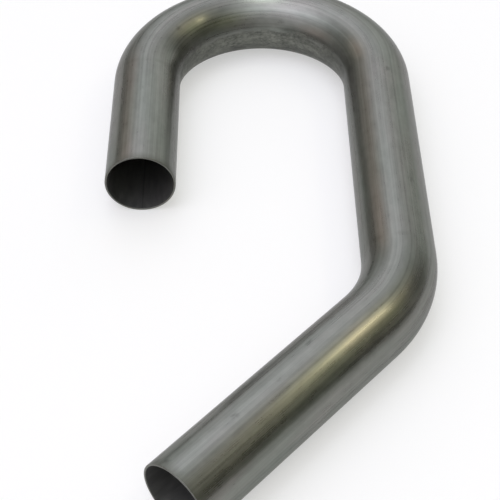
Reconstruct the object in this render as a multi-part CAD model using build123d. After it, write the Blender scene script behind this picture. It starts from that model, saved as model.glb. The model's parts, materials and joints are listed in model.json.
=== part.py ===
# A mandrel-bent steel tube, as used for exhaust pipework: a short leg, a return bend, a middle leg, a
# second bend the same way round and a long leg. It is one piece of seam-welded tube, and it lies flat on
# its side.
#
# Frame: +Z is up, and the tube rests on z = 0. The short leg runs along +Y, from its open end to the return
# bend. The origin is on the floor, under the middle of the tube's bounding box.
#
# A bend drawn over a mandrel keeps its outside round, but its wall is stretched thin along the outer curve
# and is packed thicker along the inner one. So the bore follows a route of its own: it eases outwards just
# before each bend, goes round on a slightly larger radius, and eases back. The seam lies on the neutral
# line, on the tube's underside, where its rolled bead stands a little proud of the bore.

from build123d import *
import math
import os
from dataclasses import dataclass

# Driving sizes, in millimetres and degrees
tube_diameter = 57.15
wall = 1.65
bend_radius = 100.0
return_bend_angle = 180.0
second_bend_angle = 43.0
short_leg = 128.5
middle_leg = 216.0
long_leg = 200.0
bore_shift = 0.3
ease_radius = 100.0
bead_width = 3.0
bead_height = 0.2
edge_break = 0.3

NODE = "bent_tube"


@dataclass
class Straight:
    """A straight run of a route."""

    length: float


@dataclass
class Bend:
    """A bend of a route, to the right of the way it heads for side 1, or to the left for side -1."""

    radius: float
    angle: float
    side: int = 1


def along_straight(frame, run, section):
    """The run's solid, and the frame at its far end."""
    return extrude(frame * section, run.length), frame.offset(run.length)


def around_bend(frame, run, section):
    """The bend's solid, and the frame at its far end."""
    centre = frame.origin + frame.x_dir * run.radius * run.side
    pivot = Axis(centre, (0, 0, -run.side))
    turn = Axis((0, 0, 0), pivot.direction)
    far_end = Plane(
        origin=centre + (frame.origin - centre).rotate(turn, run.angle),
        x_dir=frame.x_dir.rotate(turn, run.angle),
        z_dir=frame.z_dir.rotate(turn, run.angle),
    )
    return revolve(frame * section, pivot, run.angle), far_end


def follow(route, section):
    """The solid that a section leaves along a route, and the frames at the route's two ends.

    A frame's Z is the way the route heads and its X is to the right of that, so its Y points down.
    """
    start = Plane(origin=(0, 0, 0), x_dir=(1, 0, 0), z_dir=(0, 1, 0))
    frame = start
    solids = []
    for run in route:
        step = along_straight if isinstance(run, Straight) else around_bend
        solid, frame = step(frame, run, section)
        solids.append(solid)
    return Part() + solids, start, frame


def outside_route():
    """The tube's centreline: legs and bends."""
    return [
        Straight(short_leg),
        Bend(bend_radius, return_bend_angle),
        Straight(middle_leg),
        Bend(bend_radius, second_bend_angle),
        Straight(long_leg),
    ]


def bore_ease():
    """The turn of the counter-bend that moves the bore outwards, and the length of leg that it takes up."""
    both_radii = bend_radius + ease_radius
    turn = math.degrees(math.acos(both_radii / (both_radii + bore_shift)))
    return turn, both_radii * math.tan(math.radians(turn))


def bore_bend(angle):
    """The bore's way round one bend: out, round on the larger radius, and back."""
    turn, _ = bore_ease()
    ease = Bend(ease_radius, turn, side=-1)
    return [ease, Bend(bend_radius + bore_shift, angle + 2 * turn), ease]


def bore_route():
    """The bore's centreline, which is the tube's own on the legs."""
    _, taken = bore_ease()
    return [
        Straight(short_leg - taken),
        *bore_bend(return_bend_angle),
        Straight(middle_leg - 2 * taken),
        *bore_bend(second_bend_angle),
        Straight(long_leg - taken),
    ]


def bore_section():
    """The bore's circle less the seam's rolled bead, a low arc on the underside."""
    bore_radius = tube_diameter / 2 - wall
    chord_depth = bore_radius - math.sqrt(bore_radius**2 - (bead_width / 2) ** 2)
    rise = chord_depth + bead_height
    bead_radius = (bead_width**2 / 4 + rise**2) / (2 * rise)
    bead = Pos(0, bore_radius - bead_height + bead_radius) * Circle(bead_radius)
    return Circle(bore_radius) - bead


def deburring(end, outwards):
    """What deburring takes off an open end: a small bevel outside and one inside.

    Outwards is 1 where the end's Z points out of the tube, and -1 where it points in.
    """
    outer = tube_diameter / 2
    inner = outer - wall
    outside_bevel = Polyline((outer, 0), (outer, -edge_break), (outer - edge_break, 0), close=True)
    inside_bevel = Polyline((inner, 0), (inner, -edge_break), (inner + edge_break, 0), close=True)
    rings = revolve(Plane.XZ * (make_face(outside_bevel) + make_face(inside_bevel)), Axis.Z, 360)
    return Plane(origin=end.origin, x_dir=end.x_dir, z_dir=end.z_dir * outwards) * rings


def bent_tube():
    """The finished tube, before it is laid on the floor."""
    blank, short_end, long_end = follow(outside_route(), Circle(tube_diameter / 2))
    bore, _, _ = follow(bore_route(), bore_section())
    return blank - bore - deburring(short_end, -1) - deburring(long_end, 1)


def laid_down(tube):
    """The tube moved so that the origin is on the floor, under the middle of its box."""
    box = tube.bounding_box()
    middle = box.center()
    return Pos(-middle.X, -middle.Y, -box.min.Z) * tube


def main():
    os.makedirs("parts", exist_ok=True)
    export_step(laid_down(bent_tube()), os.path.join("parts", NODE + ".step"))


if __name__ == "__main__":
    main()
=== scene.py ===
import json
import math

import bpy
from mathutils import Matrix, Vector


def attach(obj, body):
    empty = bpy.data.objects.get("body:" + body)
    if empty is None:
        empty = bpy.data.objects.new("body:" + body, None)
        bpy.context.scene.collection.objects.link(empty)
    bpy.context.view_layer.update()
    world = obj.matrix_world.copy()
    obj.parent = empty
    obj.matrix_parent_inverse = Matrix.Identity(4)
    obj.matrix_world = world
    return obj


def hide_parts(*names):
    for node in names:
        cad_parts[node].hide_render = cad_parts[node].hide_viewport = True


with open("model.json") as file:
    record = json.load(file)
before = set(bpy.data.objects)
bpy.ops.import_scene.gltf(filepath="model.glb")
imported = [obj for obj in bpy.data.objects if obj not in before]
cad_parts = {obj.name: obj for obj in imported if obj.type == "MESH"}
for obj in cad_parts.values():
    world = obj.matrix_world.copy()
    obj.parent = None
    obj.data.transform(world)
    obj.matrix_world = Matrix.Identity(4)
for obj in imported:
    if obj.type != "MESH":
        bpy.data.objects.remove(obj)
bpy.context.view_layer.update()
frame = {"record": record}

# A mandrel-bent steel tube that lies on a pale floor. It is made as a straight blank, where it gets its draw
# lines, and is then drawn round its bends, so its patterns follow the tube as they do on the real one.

MM = 0.001

# The tube, in metres and radians
TUBE_DIAMETER = 57.15 * MM
WALL = 1.65 * MM
BEND_RADIUS = 100.0 * MM
RETURN_BEND = math.radians(180.0)
SECOND_BEND = math.radians(43.0)
SHORT_LEG = 128.5 * MM
MIDDLE_LEG = 216.0 * MM
LONG_LEG = 200.0 * MM
BORE_SHIFT = 0.3 * MM
EASE_LENGTH = 11.0 * MM
BEAD_WIDTH = 3.0 * MM
BEAD_HEIGHT = 0.2 * MM
EDGE_BREAK = 0.3 * MM

# The round that touches the middle of the broken edge's bevel
EDGE_ROUND = EDGE_BREAK / (2 - math.sqrt(2))

# What the tube's tree is given
SIZES = {
    "Tube Diameter": TUBE_DIAMETER,
    "Wall": WALL,
    "Edge Round": EDGE_ROUND,
    "Bend Radius": BEND_RADIUS,
    "Short Leg": SHORT_LEG,
    "Return Bend": RETURN_BEND,
    "Middle Leg": MIDDLE_LEG,
    "Second Bend": SECOND_BEND,
    "Long Leg": LONG_LEG,
    "Bore Shift": BORE_SHIFT,
    "Ease Length": EASE_LENGTH,
    "Bead Width": BEAD_WIDTH,
    "Bead Height": BEAD_HEIGHT,
}

# The mesh
RINGS = 260
FACETS_AROUND = 160
ROUND_STEPS = 3

# A face counts as bore where it lies at least this deep in the wall, from 0 outside to 1
BORE_DEPTH = 0.99

MATH = "ShaderNodeMath"
VECTOR = "ShaderNodeVectorMath"
ROTATE = "ShaderNodeVectorRotate"
JOIN = "ShaderNodeCombineXYZ"
SPLIT = "ShaderNodeSeparateXYZ"
RAMP = "ShaderNodeMapRange"
NOISE = "ShaderNodeTexNoise"
MIX = "ShaderNodeMix"

# The Mix node's colour sockets go by number, because it has several of each name
SHARE = 0
UNDER = 6
OVER = 7
MIXED = 2


def linear(hex_colour):
    """An sRGB hex colour as linear RGBA."""
    values = [int(hex_colour[i : i + 2], 16) / 255 for i in (1, 3, 5)]
    return [v / 12.92 if v <= 0.04045 else ((v + 0.055) / 1.055) ** 2.4 for v in values] + [1.0]


def direction(heading, height):
    """The way that heads so far clockwise from +Y and so far above the horizon, in degrees."""
    heading = math.radians(heading)
    height = math.radians(height)
    level = math.cos(height)
    return Vector((math.sin(heading) * level, math.cos(heading) * level, math.sin(height)))


def add(tree, kind, inputs=(), **settings):
    """Adds a node with its settings. Its inputs go by order or, in a dict, by name or number: a value, a
    socket, or a node for its first output."""
    node = tree.nodes.new(kind)
    for name, value in settings.items():
        setattr(node, name, value)
    for key, value in inputs.items() if isinstance(inputs, dict) else enumerate(inputs):
        if isinstance(value, bpy.types.Node):
            value = value.outputs[0]
        if isinstance(value, bpy.types.NodeSocket):
            tree.links.new(value, node.inputs[key])
        else:
            node.inputs[key].default_value = value
    return node


# The tube


def name_inputs(tree):
    """Gives the tube's tree its named sizes and materials, and returns them."""
    for name in SIZES:
        tree.interface.new_socket(name, in_out="INPUT", socket_type="NodeSocketFloat")
    for name in ("Outside", "Cut Ends", "Bore"):
        tree.interface.new_socket(name, in_out="INPUT", socket_type="NodeSocketMaterial")
    tree.interface.new_socket("Start", in_out="INPUT", socket_type="NodeSocketVector")
    tree.interface.new_socket("Geometry", in_out="OUTPUT", socket_type="NodeSocketGeometry")
    return add(tree, "NodeGroupInput").outputs


def lay_out_runs(tree, given):
    """Each run as whether it bends, its start and length along the tube, and the turn before it, and the
    tube's whole length. A turn to the right counts down."""
    runs = []
    start = 0.0
    turn = 0.0
    for name in ("Short Leg", "Return Bend", "Middle Leg", "Second Bend", "Long Leg"):
        bends = name.endswith("Bend")
        length = given[name]
        if bends:
            length = add(tree, MATH, (given[name], given["Bend Radius"]), operation="MULTIPLY")
        runs.append((bends, start, length, turn))
        start = add(tree, MATH, (start, length), operation="ADD")
        if bends:
            turn = add(tree, MATH, (turn, given[name]), operation="SUBTRACT")
    return runs, start


def straight_blank(tree, given, length):
    """The straight tube along Z, with its edges broken: its wall's section, spun round the axis."""
    section = add(
        tree,
        "GeometryNodeCurvePrimitiveQuadrilateral",
        {"Width": given["Wall"], "Height": length},
        mode="RECTANGLE",
    )
    rounded = add(
        tree,
        "GeometryNodeFilletCurve",
        {"Curve": section, "Count": ROUND_STEPS, "Radius": given["Edge Round"]},
        mode="POLY",
    )
    # Only the section's long sides are cut into rings: those longer than the tube is wide
    here = add(tree, "GeometryNodeInputPosition")
    following = add(tree, "GeometryNodeOffsetPointInCurve", {"Offset": 1})
    there = add(
        tree,
        "GeometryNodeFieldAtIndex",
        {"Index": following.outputs["Point Index"], "Value": here},
        data_type="FLOAT_VECTOR",
    )
    side = add(tree, VECTOR, (here, there), operation="DISTANCE").outputs["Value"]
    long_side = add(tree, MATH, (side, given["Tube Diameter"]), operation="GREATER_THAN")
    cuts = add(tree, MATH, (long_side, RINGS), operation="MULTIPLY")
    ringed = add(tree, "GeometryNodeSubdivideCurve", {"Curve": rounded, "Cuts": cuts})
    middle_diameter = add(tree, MATH, (given["Tube Diameter"], given["Wall"]), operation="SUBTRACT")
    middle_radius = add(tree, MATH, (middle_diameter, 0.5), operation="MULTIPLY")
    circle = add(
        tree,
        "GeometryNodeCurvePrimitiveCircle",
        {"Resolution": FACETS_AROUND, "Radius": middle_radius},
        mode="RADIUS",
    )
    return add(tree, "GeometryNodeCurveToMesh", {"Curve": circle, "Profile Curve": ringed})


def route(tree, given, runs, along):
    """The centreline's place, and its turn so far, at a distance along the tube."""
    place = given["Start"]
    turn_so_far = 0.0
    for bends, start, length, turn in runs:
        past = add(tree, MATH, (along, start), operation="SUBTRACT")
        done = add(tree, "ShaderNodeClamp", {"Value": past, "Min": 0.0, "Max": length})
        if bends:
            turned = add(tree, MATH, (done, given["Bend Radius"]), operation="DIVIDE")
            turn_now = add(tree, MATH, (turn, turned), operation="SUBTRACT")
            turn_so_far = add(tree, MATH, (turn_so_far, turned), operation="SUBTRACT")
            right = [
                add(tree, ROTATE, {"Vector": (1, 0, 0), "Angle": angle}, rotation_type="Z_AXIS")
                for angle in (turn, turn_now)
            ]
            chord = add(tree, VECTOR, right, operation="SUBTRACT")
            step = add(tree, VECTOR, {0: chord, "Scale": given["Bend Radius"]}, operation="SCALE")
        else:
            ahead = add(tree, ROTATE, {"Vector": (0, 1, 0), "Angle": turn}, rotation_type="Z_AXIS")
            step = add(tree, VECTOR, {0: ahead, "Scale": done}, operation="SCALE")
        place = add(tree, VECTOR, (place, step), operation="ADD")
    return place, turn_so_far


def bore_ease(tree, given, runs, along):
    """How far the bore has eased outwards, from 0 on the legs to 1 in the bends."""
    total = 0.0
    for bends, start, length, _ in runs:
        if not bends:
            continue
        end = add(tree, MATH, (start, length), operation="ADD")
        before = add(tree, MATH, (start, given["Ease Length"]), operation="SUBTRACT")
        after = add(tree, MATH, (end, given["Ease Length"]), operation="ADD")
        eased = [
            add(tree, RAMP, (along, low, high, 0.0, 1.0), interpolation_type="SMOOTHSTEP")
            for low, high in ((before, start), (end, after))
        ]
        within = add(tree, MATH, eased, operation="SUBTRACT")
        total = add(tree, MATH, (total, within), operation="ADD")
    return total


def tube_tree():
    """The tube as a rule: a straight blank, its bead and its bore's shift, then the blank drawn round the
    bends. It leaves each point's place in the blank as the attribute blank: right, up and along. The
    attribute around is the way round the tube there."""
    tree = bpy.data.node_groups.new("bent_tube", "GeometryNodeTree")
    given = name_inputs(tree)
    runs, whole_length = lay_out_runs(tree, given)
    blank = straight_blank(tree, given, whole_length)

    # Each point's place in the blank
    half_length = add(tree, MATH, (whole_length, 0.5), operation="MULTIPLY")
    place = add(tree, SPLIT, (add(tree, "GeometryNodeInputPosition"),)).outputs
    from_start = add(tree, MATH, (place["Z"], half_length), operation="ADD")
    in_blank = add(tree, JOIN, (place["X"], place["Y"], from_start))
    marked = add(
        tree,
        "GeometryNodeStoreNamedAttribute",
        {"Geometry": blank, "Name": "blank", "Value": in_blank},
        data_type="FLOAT_VECTOR",
        domain="POINT",
    )
    kept = add(tree, "GeometryNodeInputNamedAttribute", {"Name": "blank"}, data_type="FLOAT_VECTOR")
    across, up, along = add(tree, SPLIT, (kept,)).outputs

    # How deep a point lies in the wall, from 0 outside to 1 at the bore
    flat = add(tree, JOIN, (across, up, 0.0))
    from_axis = add(tree, VECTOR, (flat,), operation="LENGTH").outputs["Value"]
    radius = add(tree, MATH, (given["Tube Diameter"], 0.5), operation="MULTIPLY")
    under = add(tree, MATH, (radius, from_axis), operation="SUBTRACT")
    depth = add(tree, MATH, (under, given["Wall"]), operation="DIVIDE", use_clamp=True)

    # The seam's rolled bead along the underside of the bore: 1 less 4 times the square of how many widths a
    # point is from its middle
    off_seam = add(tree, MATH, (across, given["Bead Width"]), operation="DIVIDE")
    squared = add(tree, MATH, (off_seam, off_seam), operation="MULTIPLY")
    crest = add(tree, MATH, (squared, -4.0, 1.0), operation="MULTIPLY_ADD", use_clamp=True)
    below_axis = add(tree, MATH, (up, 0.0), operation="LESS_THAN")
    bead = add(tree, MATH, (crest, below_axis), operation="MULTIPLY")
    bead = add(tree, MATH, (bead, given["Bead Height"]), operation="MULTIPLY")
    bead = add(tree, MATH, (bead, depth), operation="MULTIPLY")

    # The bore's shift, towards the outer side of the bends
    ease = bore_ease(tree, given, runs, along)
    shift = add(tree, MATH, (ease, given["Bore Shift"]), operation="MULTIPLY")
    shift = add(tree, MATH, (shift, depth), operation="MULTIPLY")
    new_across = add(tree, MATH, (across, shift), operation="SUBTRACT")
    new_up = add(tree, MATH, (up, bead), operation="ADD")

    # The way round the tube, across its draw lines
    centre, turn = route(tree, given, runs, along)
    against_up = add(tree, MATH, (up, -1.0), operation="MULTIPLY")
    around = add(tree, JOIN, (against_up, 0.0, across))
    around = add(tree, ROTATE, {"Vector": around, "Angle": turn}, rotation_type="Z_AXIS")
    marked = add(
        tree,
        "GeometryNodeStoreNamedAttribute",
        {"Geometry": marked, "Name": "around", "Value": around},
        data_type="FLOAT_VECTOR",
        domain="POINT",
    )

    # The blank drawn round the bends
    spoke = add(tree, JOIN, (new_across, 0.0, new_up))
    swung = add(tree, ROTATE, {"Vector": spoke, "Angle": turn}, rotation_type="Z_AXIS")
    bent_place = add(tree, VECTOR, (centre, swung), operation="ADD")
    bent = add(tree, "GeometryNodeSetPosition", {"Geometry": marked, "Position": bent_place})

    # Which faces are bore, and which are cut ends
    in_bore = add(tree, MATH, (depth, BORE_DEPTH), operation="GREATER_THAN")
    to_far_end = add(tree, MATH, (whole_length, along), operation="SUBTRACT")
    to_end = add(tree, MATH, (along, to_far_end), operation="MINIMUM")
    at_end = add(tree, MATH, (to_end, given["Edge Round"]), operation="LESS_THAN")
    smooth = add(tree, "GeometryNodeSetShadeSmooth", {"Geometry": bent, "Shade Smooth": True})
    real = add(tree, "GeometryNodeRealizeInstances", {"Geometry": smooth})
    painted = add(tree, "GeometryNodeSetMaterial", {"Geometry": real, "Material": given["Outside"]})
    for where, name in ((in_bore, "Bore"), (at_end, "Cut Ends")):
        painted = add(
            tree,
            "GeometryNodeSetMaterial",
            {"Geometry": painted, "Selection": where, "Material": given[name]},
        )
    add(tree, "NodeGroupOutput", (painted,))
    return tree


def bent_tube(outside, cut_ends, bore):
    """The tube's mesh. Its place comes from the short end's mount, which is halfway along the short leg."""
    mount = next(m for m in frame["record"]["mounts"] if m["name"] == "short_end_outside")
    out_of_tube = Vector(mount["axis"])
    start = Vector(mount["pos_m"]) + out_of_tube * (SHORT_LEG / 2)
    tree = tube_tree()
    values = {**SIZES, "Outside": outside, "Cut Ends": cut_ends, "Bore": bore, "Start": start}
    rough = bpy.data.objects.new("bent_tube_rule", bpy.data.meshes.new("bent_tube_rule"))
    bpy.context.scene.collection.objects.link(rough)
    rule = rough.modifiers.new("bent_tube", "NODES")
    rule.node_group = tree
    for item in tree.interface.items_tree:
        if item.in_out == "INPUT":
            rule[item.identifier] = values[item.name]
    # The long faces keep their own normals beside the small broken edges
    rough.modifiers.new("even_shading", "WEIGHTED_NORMAL")
    bpy.context.view_layer.update()
    evaluated = rough.evaluated_get(bpy.context.evaluated_depsgraph_get())
    mesh = bpy.data.meshes.new_from_object(evaluated)
    bpy.data.objects.remove(rough)
    mesh.name = "drawn_tube"
    tube = bpy.data.objects.new("drawn_tube", mesh)
    bpy.context.scene.collection.objects.link(tube)
    return tube


# Materials
#
# Places and grains are in the straight blank, in millimetres: right, up and along. A ramp is where it starts
# and ends, and what it gives there where that isn't 0 and 1.

# Draw lines: the width and length of each kind, and how much it shows. The narrowest stand for finer ones,
# and are as coarse as they need to be to show.
DRAW_LINES = ((7.0, 420.0, 0.5), (2.4, 320.0, 0.6), (1.0, 200.0, 0.4))
DEEP_GRAIN = (1.3, 1.3, 420.0)
DEEP_RAMP = (0.66, 0.76, 0.0, 0.28)
# How far a draw line stands from the surface in metres, more than a real one so that it shows
LINE_HEIGHT = 0.012 * MM
# The anisotropy at which a reflection spreads about three times as wide across the lines as along them
ACROSS_LINES = 0.75

# The oil film and the clouds in it
FILM_GRAIN = (26.0, 26.0, 120.0)
FILM_RAMP = (0.35, 0.65)
CLOUD_GRAIN = (6.0, 6.0, 13.0)
CLOUD_SHARE = 0.5

# Along the tube
RETURN_START = SHORT_LEG / MM
RETURN_END = RETURN_START + BEND_RADIUS * RETURN_BEND / MM
SECOND_START = RETURN_END + MIDDLE_LEG / MM
SECOND_END = SECOND_START + BEND_RADIUS * SECOND_BEND / MM
TUBE_END = SECOND_END + LONG_LEG / MM

# The band on the bends' inner side that rubbed on the die: where it starts and ends along the tube and how
# strong it is, its top and bottom, and over how far it fades along, upwards and inwards
RUBBED = ((RETURN_START, RETURN_END, 1.0), (SECOND_START, SECOND_END, 0.35))
RUB_TOP = 6.0
RUB_BOTTOM = -26.0
RUB_FADE_ALONG = 14.0
RUB_FADE_UP = 3.0
RUB_FADE_INWARDS = 8.0
# Its edge wanders by up to half of this each way
EDGE_WANDER = 20.0
EDGE_GRAIN = (6.0, 6.0, 30.0)
# Its patches, and its scuffs and fine relief, which are coarser than real ones so that they show
SCUFF_GRAIN = (1.7, 1.7, 4.0)
PATCH_GRAIN = (7.0, 7.0, 22.0)
MOTTLE_RAMP = (0.76, 1.24)
WORN_RELIEF_GRAIN = (1.2, 1.2, 2.4)

# A clamp mark, by the distance from its middle, and its breaks round the tube
CLAMP_RAMP = (3.5, 0.5, 0.0, 0.22)
BREAK_GRAIN = (9.0, 9.0, 400.0)
BREAK_RAMP = (0.42, 0.62)

# The deburred ends, by the distance from the cut
DEBURRED_RAMP = (7.0, 1.0, 0.0, 0.5)

# Smudges: how far apart they are, how much they show by the distance from a middle, counted in spacings, and
# how ragged that makes their edge
SMUDGE_SPACING = (24.0, 24.0, 34.0)
SMUDGE_RAMP = (0.25, 0.13, 0.0, 0.4)
RAGGED_GRAIN = (1.8, 1.8, 3.0)
RAGGED_SHARE = 0.25

# The outside's roughness by its tone, and what the film, the rubbing and the deburring add
ROUGH_RAMP = (0.2, 0.8, 0.24, 0.31)
FILM_ROUGHER = 0.03
RUB_ROUGHER = 0.13
DEBURRED_ROUGHER = 0.2
# How bright the outside stays where it is seen at a low angle
EDGE_TINT = (0.5, 0.5, 0.5, 1.0)

# The bore's scale, and its seam by the distance from the bead's middle
SCALE_GRAIN = (3.0, 3.0, 14.0)
SCALE_RAMP = (0.3, 0.7)
SCALE_ROUGH_RAMP = (0.0, 1.0, 0.5, 0.6)
SEAM_RAMP = (BEAD_WIDTH / MM / 4, BEAD_WIDTH / MM / 8, 0.0, 0.28)

# The cut ends' marks
CUT_GRAIN = (0.5, 0.5, 3.0)
CUT_RAMP = (0.35, 0.65)
CUT_ROUGH_RAMP = (0.0, 1.0, 0.38, 0.52)


def new_material(name):
    """An empty material and its tree."""
    material = bpy.data.materials.new(name)
    material.use_nodes = True
    tree = material.node_tree
    tree.nodes.clear()
    return material, tree


def read_blank(tree):
    """A point's place in the straight blank."""
    blank = add(tree, "ShaderNodeAttribute", attribute_name="blank")
    return add(tree, VECTOR, {0: blank.outputs["Vector"], "Scale": 1 / MM}, operation="SCALE")


def with_grains(tree, place, size, **inputs):
    """A texture's inputs, with its grains of the given size."""
    counted = add(tree, VECTOR, (place, [1 / v for v in size]), operation="MULTIPLY")
    return {"Vector": counted, "Scale": 1.0, **inputs}


def draw_lines(tree, place):
    """The lines from the draw bench, about an even level of 0.5, and how much a few deeper ones show."""
    lines = 0.5
    for width, length, share in DRAW_LINES:
        line = add(tree, NOISE, with_grains(tree, place, (width, width, length), Detail=1.0))
        line = add(tree, MATH, (line, 0.5), operation="SUBTRACT")
        lines = add(tree, MATH, (line, share, lines), operation="MULTIPLY_ADD")
    deep = add(tree, NOISE, with_grains(tree, place, DEEP_GRAIN, Detail=1.0))
    deep = add(tree, RAMP, (deep, *DEEP_RAMP))
    return lines, deep


def oil_film(tree, place):
    """The oil film, in broad soft patches, and the small clouds where it was handled, from -0.5 to 0.5."""
    film = add(tree, NOISE, with_grains(tree, place, FILM_GRAIN, Detail=3.0, Roughness=0.6))
    film = add(tree, RAMP, (film, *FILM_RAMP))
    cloud = add(tree, NOISE, with_grains(tree, place, CLOUD_GRAIN, Detail=4.0, Roughness=0.6))
    cloud = add(tree, MATH, (cloud, 0.5), operation="SUBTRACT")
    return film, cloud


def rubbed_band(tree, place):
    """How much the bend die rubbed the tube, on the inner side of the bends, and how light it left it."""
    across, up, along = add(tree, SPLIT, (place,)).outputs
    edge = add(tree, NOISE, with_grains(tree, place, EDGE_GRAIN, Detail=4.0))
    edge = add(tree, MATH, (edge, EDGE_WANDER, -EDGE_WANDER / 2), operation="MULTIPLY_ADD")
    up = add(tree, MATH, (edge, up), operation="ADD")
    limits = (
        (up, RUB_TOP + RUB_FADE_UP, RUB_TOP - RUB_FADE_UP),
        (up, RUB_BOTTOM - RUB_FADE_UP, RUB_BOTTOM + RUB_FADE_UP),
        (across, 0.0, RUB_FADE_INWARDS),
    )
    rub = 1.0
    for limit in limits:
        side = add(tree, RAMP, limit, interpolation_type="SMOOTHSTEP")
        rub = add(tree, MATH, (rub, side), operation="MULTIPLY")
    in_bends = 0.0
    for first, last, strength in RUBBED:
        starts, stops = [
            add(tree, RAMP, (along, end - RUB_FADE_ALONG, end + RUB_FADE_ALONG, 0.0, strength))
            for end in (first, last)
        ]
        within = add(tree, MATH, (starts, stops), operation="SUBTRACT")
        in_bends = add(tree, MATH, (in_bends, within), operation="ADD")
    rub = add(tree, MATH, (rub, in_bends), operation="MULTIPLY", use_clamp=True)
    scuffs = add(tree, NOISE, with_grains(tree, place, SCUFF_GRAIN, Detail=4.0, Roughness=0.75))
    patches = add(tree, NOISE, with_grains(tree, place, PATCH_GRAIN, Detail=4.0, Roughness=0.6))
    mottle = add(tree, MATH, (scuffs, patches), operation="ADD")
    mottle = add(tree, RAMP, (mottle, *MOTTLE_RAMP))
    return rub, mottle


def clamp_marks(tree, place):
    """How much the faint, broken lines show that the clamp's edge left at the start of each bend."""
    along = add(tree, SPLIT, (place,)).outputs["Z"]
    marks = 0.0
    for middle in (RETURN_START, SECOND_START):
        off = add(tree, MATH, (along, middle), operation="SUBTRACT")
        off = add(tree, MATH, (off,), operation="ABSOLUTE")
        mark = add(tree, RAMP, (off, *CLAMP_RAMP))
        marks = add(tree, MATH, (marks, mark), operation="ADD")
    breaks = add(tree, NOISE, with_grains(tree, place, BREAK_GRAIN, Detail=2.0))
    breaks = add(tree, RAMP, (breaks, *BREAK_RAMP))
    return add(tree, MATH, (marks, breaks), operation="MULTIPLY")


def deburred_ends(tree, place):
    """How much the tube was dulled near its ends, where they were deburred."""
    along = add(tree, SPLIT, (place,)).outputs["Z"]
    to_far_end = add(tree, MATH, (TUBE_END, along), operation="SUBTRACT")
    to_end = add(tree, MATH, (along, to_far_end), operation="MINIMUM")
    return add(tree, RAMP, (to_end, *DEBURRED_RAMP))


def smudges(tree, place):
    """How much a few small dark smudges show."""
    spot = add(tree, "ShaderNodeTexVoronoi", with_grains(tree, place, SMUDGE_SPACING))
    ragged = add(tree, NOISE, with_grains(tree, place, RAGGED_GRAIN, Detail=4.0))
    spot = add(tree, MATH, (ragged, RAGGED_SHARE, spot.outputs["Distance"]), operation="MULTIPLY_ADD")
    return add(tree, RAMP, (spot, *SMUDGE_RAMP))


def drawn_steel():
    """Mild steel tube as it comes off the draw bench and the bender, under a thin film of oil. It is a
    satin grey with fine lines along it, duller and mottled where the bend's inner side rubbed on the die."""
    material, tree = new_material("drawn_mild_steel")
    place = read_blank(tree)
    lines, deep = draw_lines(tree, place)
    film, cloud = oil_film(tree, place)
    rub, mottle = rubbed_band(tree, place)
    marks = clamp_marks(tree, place)
    ends = deburred_ends(tree, place)
    smudge = smudges(tree, place)
    tone = add(tree, MATH, (cloud, CLOUD_SHARE, lines), operation="MULTIPLY_ADD")

    # Colour: the steel, the film's tint over it, and then what covers them
    filmed = add(
        tree,
        MIX,
        {SHARE: film, UNDER: linear("#fffaf7"), OVER: linear("#f8fdf6")},
        data_type="RGBA",
    )
    worn = add(
        tree,
        MIX,
        {SHARE: mottle, UNDER: linear("#4e504b"), OVER: linear("#7f8179")},
        data_type="RGBA",
    )
    layers = (
        (tone, linear("#969895"), "MIX"),
        (1.0, filmed.outputs[MIXED], "MULTIPLY"),
        (rub, worn.outputs[MIXED], "MIX"),
        (deep, linear("#4a4c4c"), "MIX"),
        (marks, linear("#55564f"), "MIX"),
        (ends, linear("#5d5f57"), "MIX"),
        (smudge, linear("#33342f"), "MIX"),
    )
    colour = linear("#5c5e5b")
    for share, paint, blend in layers:
        mixed = add(
            tree,
            MIX,
            {SHARE: share, UNDER: colour, OVER: paint},
            data_type="RGBA",
            blend_type=blend,
        )
        colour = mixed.outputs[MIXED]

    # Roughness
    rough = add(tree, RAMP, (tone, *ROUGH_RAMP))
    for share, more in ((film, FILM_ROUGHER), (rub, RUB_ROUGHER), (ends, DEBURRED_ROUGHER)):
        rough = add(tree, MATH, (share, more, rough), operation="MULTIPLY_ADD")

    # The draw lines spread a reflection round the tube, and not along it
    around = add(tree, "ShaderNodeAttribute", attribute_name="around")
    around = add(
        tree,
        "ShaderNodeVectorTransform",
        (around.outputs["Vector"],),
        vector_type="VECTOR",
        convert_from="OBJECT",
        convert_to="WORLD",
    )

    # Relief. The coat is the oil, which with some dirt also takes a little off the metal's share.
    worn_relief = add(tree, NOISE, with_grains(tree, place, WORN_RELIEF_GRAIN, Detail=3.0))
    worn_relief = add(tree, MATH, (worn_relief, rub), operation="MULTIPLY")
    relief = add(tree, MATH, (lines, worn_relief), operation="ADD")
    bump = add(tree, "ShaderNodeBump", {"Strength": 1.0, "Distance": LINE_HEIGHT, "Height": relief})
    shader = add(
        tree,
        "ShaderNodeBsdfPrincipled",
        {
            "Base Color": colour,
            "Metallic": 0.94,
            "Roughness": rough,
            "Normal": bump,
            "Anisotropic": ACROSS_LINES,
            "Tangent": around,
            "Specular Tint": EDGE_TINT,
            "Coat Weight": 0.25,
            "Coat Roughness": 0.12,
        },
    )
    add(tree, "ShaderNodeOutputMaterial", {"Surface": shader})
    return material


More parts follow.
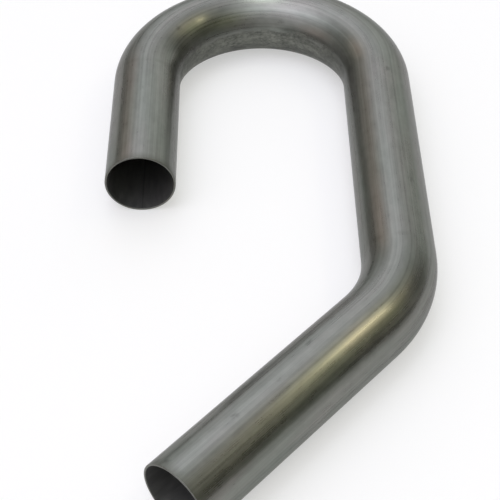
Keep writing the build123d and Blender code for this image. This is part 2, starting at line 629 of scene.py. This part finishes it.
def bore_steel():
    """The inside of the tube, which was never polished: mill scale under oil. It is a dull, even grey, with
    the weld's seam as a dark line along the bottom."""
    material, tree = new_material("oiled_bore_scale")
    place = read_blank(tree)
    scale = add(tree, NOISE, with_grains(tree, place, SCALE_GRAIN, Detail=4.0))
    scale = add(tree, RAMP, (scale, *SCALE_RAMP))
    axes = add(tree, SPLIT, (place,)).outputs
    off_seam = add(tree, MATH, (axes["X"],), operation="ABSOLUTE")
    seam = add(tree, RAMP, (off_seam, *SEAM_RAMP))
    below_axis = add(tree, MATH, (axes["Y"], 0.0), operation="LESS_THAN")
    seam = add(tree, MATH, (seam, below_axis), operation="MULTIPLY")
    colour = linear("#6b6b6a")
    for share, paint in ((scale, linear("#7b7b79")), (seam, linear("#26262a"))):
        mixed = add(tree, MIX, {SHARE: share, UNDER: colour, OVER: paint}, data_type="RGBA")
        colour = mixed.outputs[MIXED]
    rough = add(tree, RAMP, (scale, *SCALE_ROUGH_RAMP))
    bump = add(tree, "ShaderNodeBump", {"Strength": 1.0, "Distance": LINE_HEIGHT, "Height": scale})
    shader = add(
        tree,
        "ShaderNodeBsdfPrincipled",
        {"Base Color": colour, "Metallic": 0.8, "Roughness": rough, "Normal": bump},
    )
    add(tree, "ShaderNodeOutputMaterial", {"Surface": shader})
    return material


def cut_steel():
    """The sawn ends, faced and deburred: a matt grey rim with a fine grain."""
    material, tree = new_material("deburred_cut_steel")
    place = read_blank(tree)
    marks = add(tree, NOISE, with_grains(tree, place, CUT_GRAIN, Detail=3.0))
    marks = add(tree, RAMP, (marks, *CUT_RAMP))
    colour = add(
        tree,
        MIX,
        {SHARE: marks, UNDER: linear("#5c5d58"), OVER: linear("#7b7c77")},
        data_type="RGBA",
    )
    rough = add(tree, RAMP, (marks, *CUT_ROUGH_RAMP))
    bump = add(tree, "ShaderNodeBump", {"Strength": 1.0, "Distance": LINE_HEIGHT, "Height": marks})
    shader = add(
        tree,
        "ShaderNodeBsdfPrincipled",
        {"Base Color": colour.outputs[MIXED], "Metallic": 1.0, "Roughness": rough, "Normal": bump},
    )
    add(tree, "ShaderNodeOutputMaterial", {"Surface": shader})
    return material


# The studio

FLOOR_RADIUS = 6.0
# How much of the light the floor gives back, and the glow that lifts it to white
FLOOR_ALBEDO = 0.5
FLOOR_GLOW = 0.465

# The room's soft lights: heading clockwise from +Y and height above the horizon in degrees, the angle at
# which each has faded to half, its strength and its colour. A black card takes light away.
ROOM = "#fffef4"
ROOM_LEVEL = 0.24
SOFT_LIGHTS = {
    "high panel ahead": (-8, 50, 16, 1.58, "#f3f3ff"),
    "low panel ahead": (21, 20, 16, 0.87, "#fffdff"),
    "small panel ahead": (-11, 20, 9, 1.1, "#f2f8ff"),
    "overhead panel": (-120, 70, 23, 2.74, "#f2f1ff"),
    "overhead lamp": (0, 80, 4, 7.26, "#f2fff0"),
    "high panel behind": (170, 56, 14, 0.68, "#f1fffb"),
    "low fill behind": (-148, 20, 33, 0.31, "#fff3fd"),
    "low panel on the right": (45, 12, 9, 0.55, "#f5fff6"),
    "warm panel on the right": (66, 48, 9, 1.02, "#fff2c2"),
    "olive panel on the right": (84, 40, 7, 0.27, "#e4ff93"),
    "olive wall on the right": (135, 40, 16, 0.16, "#f0ff40"),
    "warm wall on the left": (-41, 30, 9, 0.69, "#ffd3b9"),
    "low wall on the left": (-110, 2, 16, 0.52, "#ffc1b2"),
    "black card on the right": (106, 20, 16, -0.2, "#ffffff"),
    "small black card on the right": (67, 10, 9, -0.2, "#ffffff"),
}

# A warm lamp close by on the right, which leaves a glint on each bend
LAMP_PLACE = Vector((1.45, 0.42, 2.08))
LAMP_AIM = Vector((0.065, -0.15, 0.055))
LAMP_SPREAD = math.radians(36.0)
LAMP_WIDTH = 0.24
LAMP_POWER = 0.1
LAMP_COLOUR = "#fff0c4"

# The camera stands in front of the open ends and looks down on the tube. Its turns are in degrees.
CAMERA_PLACE = Vector((-18.49, -754.76, 741.37)) * MM
CAMERA_HEADING = 0.48
CAMERA_DIP = 45.07
CAMERA_ROLL = -0.18
FOCAL_LENGTH_PX = 1318.93
IMAGE_WIDTH_PX = 500
SENSOR_WIDTH = 36.0
NEAREST_SEEN = 0.01


def pale_floor():
    """A matt white floor. Its own glow, which only the camera and reflections see, lifts it to white."""
    material, tree = new_material("matt_white_floor")
    diffuse = add(tree, "ShaderNodeBsdfDiffuse", {"Color": (FLOOR_ALBEDO, FLOOR_ALBEDO, FLOOR_ALBEDO, 1.0)})
    path = add(tree, "ShaderNodeLightPath").outputs
    seen = add(tree, MATH, (path["Is Camera Ray"], path["Is Glossy Ray"]), operation="MAXIMUM")
    seen = add(tree, MATH, (seen, path["Is Transmission Ray"]), operation="MAXIMUM")
    strength = add(tree, MATH, (seen, FLOOR_GLOW), operation="MULTIPLY")
    glow = add(tree, "ShaderNodeEmission", {"Strength": strength})
    both = add(tree, "ShaderNodeAddShader", (diffuse, glow))
    add(tree, "ShaderNodeOutputMaterial", {"Surface": both})
    bpy.ops.mesh.primitive_circle_add(vertices=128, radius=FLOOR_RADIUS, fill_type="NGON")
    floor = bpy.context.object
    floor.name = "floor"
    floor.data.materials.append(material)
    return floor


def light_the_room():
    """The world: an even pale room with soft lights in it, each a smooth lobe round its direction."""
    world = bpy.data.worlds.new("soft_studio")
    bpy.context.scene.world = world
    world.use_nodes = True
    tree = world.node_tree
    tree.nodes.clear()
    looking = add(tree, "ShaderNodeTexCoord").outputs["Generated"]
    total = [v * ROOM_LEVEL for v in linear(ROOM)[:3]]
    for heading, height, half_angle, strength, colour in SOFT_LIGHTS.values():
        towards = direction(heading, height)
        sharpness = math.log(2) / (1 - math.cos(math.radians(half_angle)))
        facing = add(tree, VECTOR, (looking, towards), operation="DOT_PRODUCT").outputs["Value"]
        falling = add(tree, MATH, (facing, sharpness, -sharpness), operation="MULTIPLY_ADD")
        lobe = add(tree, MATH, (falling,), operation="EXPONENT")
        light = [v * strength for v in linear(colour)[:3]]
        lit = add(tree, VECTOR, {0: light, "Scale": lobe}, operation="SCALE")
        total = add(tree, VECTOR, (total, lit), operation="ADD")
    background = add(tree, "ShaderNodeBackground", {"Color": total})
    add(tree, "ShaderNodeOutputWorld", {"Surface": background})


def hang_lamp():
    """The warm lamp: a disk that throws a narrow beam on the tube."""
    data = bpy.data.lights.new("warm_lamp", "AREA")
    data.shape = "DISK"
    data.size = LAMP_WIDTH
    data.spread = LAMP_SPREAD
    data.energy = LAMP_POWER
    data.color = linear(LAMP_COLOUR)[:3]
    lamp = bpy.data.objects.new("warm_lamp", data)
    lamp.location = LAMP_PLACE
    lamp.rotation_euler = (LAMP_PLACE - LAMP_AIM).to_track_quat("Z", "Y").to_euler()
    bpy.context.scene.collection.objects.link(lamp)


def point_camera():
    """The camera at the photograph's viewing angle."""
    forward = direction(CAMERA_HEADING, -CAMERA_DIP)
    level = forward.cross(Vector((0, 0, 1))).normalized()
    upright = level.cross(forward)
    roll = math.radians(CAMERA_ROLL)
    right = math.cos(roll) * level + math.sin(roll) * upright
    up = math.cos(roll) * upright - math.sin(roll) * level
    data = bpy.data.cameras.new("camera")
    data.sensor_width = SENSOR_WIDTH
    data.lens = FOCAL_LENGTH_PX * SENSOR_WIDTH / IMAGE_WIDTH_PX
    data.clip_start = NEAREST_SEEN
    camera = bpy.data.objects.new("camera", data)
    turn = Matrix((right, up, -forward)).transposed().to_4x4()
    camera.matrix_world = Matrix.Translation(CAMERA_PLACE) @ turn
    bpy.context.scene.collection.objects.link(camera)
    bpy.context.scene.camera = camera


point_camera()
light_the_room()
hang_lamp()
pale_floor()
tube = bent_tube(drawn_steel(), cut_steel(), bore_steel())
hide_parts("bent_tube")
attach(tube, "root")

bpy.context.scene.view_settings.view_transform = "Standard"
